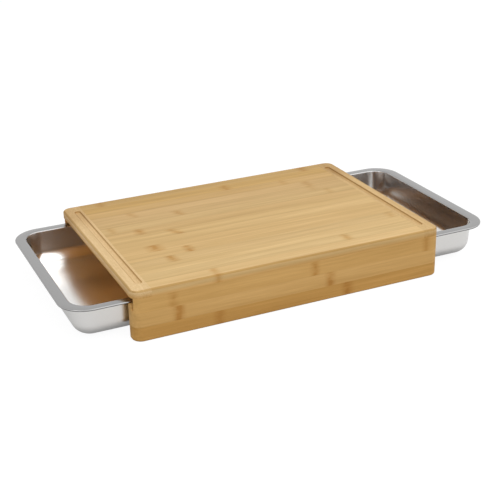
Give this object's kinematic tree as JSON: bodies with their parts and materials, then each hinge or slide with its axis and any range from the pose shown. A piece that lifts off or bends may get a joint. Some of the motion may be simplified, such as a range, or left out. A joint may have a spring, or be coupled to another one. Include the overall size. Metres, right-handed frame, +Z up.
{
  "type": "cutting board with drawer trays",
  "caption": "Bamboo cutting board raised on side walls, with juice grooves across its ends and pressed steel trays that slide out from under it to the left and right.",
  "frame": {"origin": "on the table, under the middle of the whole object with its trays out as stored; the board's own middle is 6.5 mm to the -X side of it", "axes": "+Z up, +X along the board to the right tray, +Y from the front wall to the back wall"},
  "size_m": [0.531, 0.27, 0.06],
  "materials": {
    "bamboo_stave": "oiled satin",
    "bamboo_end_cap": "oiled satin",
    "bamboo_wall": "oiled satin",
    "bamboo_batten": "sanded, unoiled",
    "tray_steel": "satin pressed sheet"
  },
  "bodies": {
    "board": {"top_stave_01": "bamboo_stave", "top_stave_02": "bamboo_stave", "top_stave_03": "bamboo_stave", "top_stave_04": "bamboo_stave", "top_stave_05": "bamboo_stave", "top_stave_06": "bamboo_stave", "top_stave_07": "bamboo_stave", "top_stave_08": "bamboo_stave", "top_stave_09": "bamboo_stave", "top_stave_10": "bamboo_stave", "top_stave_11": "bamboo_stave", "top_stave_12": "bamboo_stave", "top_stave_13": "bamboo_stave", "top_stave_14": "bamboo_stave", "top_stave_15": "bamboo_stave", "left_end_cap": "bamboo_end_cap", "right_end_cap": "bamboo_end_cap", "front_wall_stave_1": "bamboo_wall", "front_wall_stave_2": "bamboo_wall", "front_wall_stave_3": "bamboo_wall", "back_wall_stave_1": "bamboo_wall", "back_wall_stave_2": "bamboo_wall", "back_wall_stave_3": "bamboo_wall", "centre_stop": "bamboo_batten"},
    "left_tray_body": {"left_tray": "tray_steel"},
    "right_tray_body": {"right_tray": "tray_steel"}
  },
  "joints": [
    {"name": "left_tray_slide", "type": "slide", "parent": "board", "child": "left_tray_body", "axis": [-1, 0, 0], "range_m": [-0.067, 0.121]},
    {"name": "right_tray_slide", "type": "slide", "parent": "board", "child": "right_tray_body", "axis": [1, 0, 0], "range_m": [-0.08, 0.108]}
  ]
}
